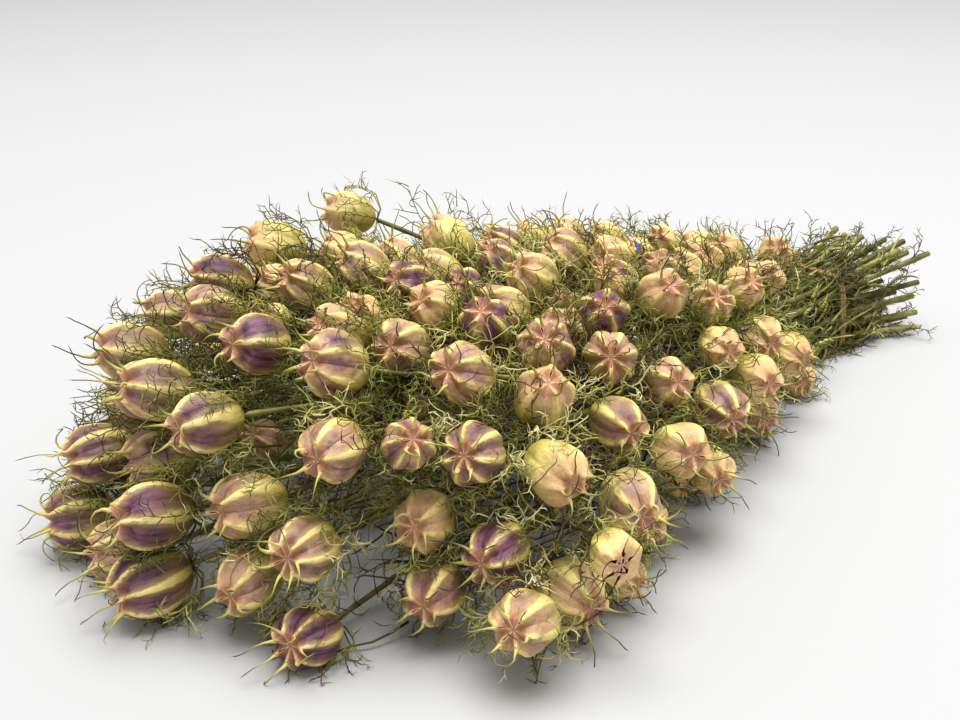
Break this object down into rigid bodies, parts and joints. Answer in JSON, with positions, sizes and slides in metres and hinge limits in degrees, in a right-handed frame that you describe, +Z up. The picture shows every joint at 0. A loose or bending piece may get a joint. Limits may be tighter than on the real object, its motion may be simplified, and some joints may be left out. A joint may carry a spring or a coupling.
{
  "type": "bunch of nigella seed pods",
  "caption": "Tied bunch of dried love-in-a-mist stems with striped, horned seed pods, lying on its side for display.",
  "frame": {"origin": "on the surface under the bunch, at the middle of its bounding box", "axes": "+X from the pods towards the cut ends, +Y across the bunch, +Z up from the surface it lies on"},
  "size_m": [0.4682, 0.2778, 0.1017],
  "materials": {
    "husk": "satin",
    "stem": "matte",
    "foliage": "matte",
    "jute": "matte"
  },
  "bodies": {
    "root": {"stem_low_01": "husk", "stem_low_02": "husk", "stem_low_03": "husk", "stem_low_04": "husk", "stem_low_05": "husk", "stem_low_06": "husk", "stem_low_07": "husk", "stem_low_08": "husk", "stem_low_09": "husk", "stem_low_10": "husk", "stem_low_11": "husk", "stem_mid_01": "husk", "stem_mid_02": "husk", "stem_mid_03": "husk", "stem_mid_04": "husk", "stem_mid_05": "husk", "stem_mid_06": "husk", "stem_mid_07": "husk", "stem_mid_08": "husk", "stem_mid_09": "husk", "stem_mid_10": "husk", "stem_mid_11": "husk", "stem_top_01": "husk", "stem_top_02": "husk", "stem_top_03": "husk", "stem_top_04": "husk", "stem_top_05": "husk", "stem_top_06": "husk", "stem_top_07": "husk", "stem_top_08": "husk", "stem_top_09": "husk", "stem_top_10": "husk", "stem_top_11": "husk", "stem_top_12": "husk", "stem_top_13": "husk", "tie": "jute"}
  },
  "joints": []
}
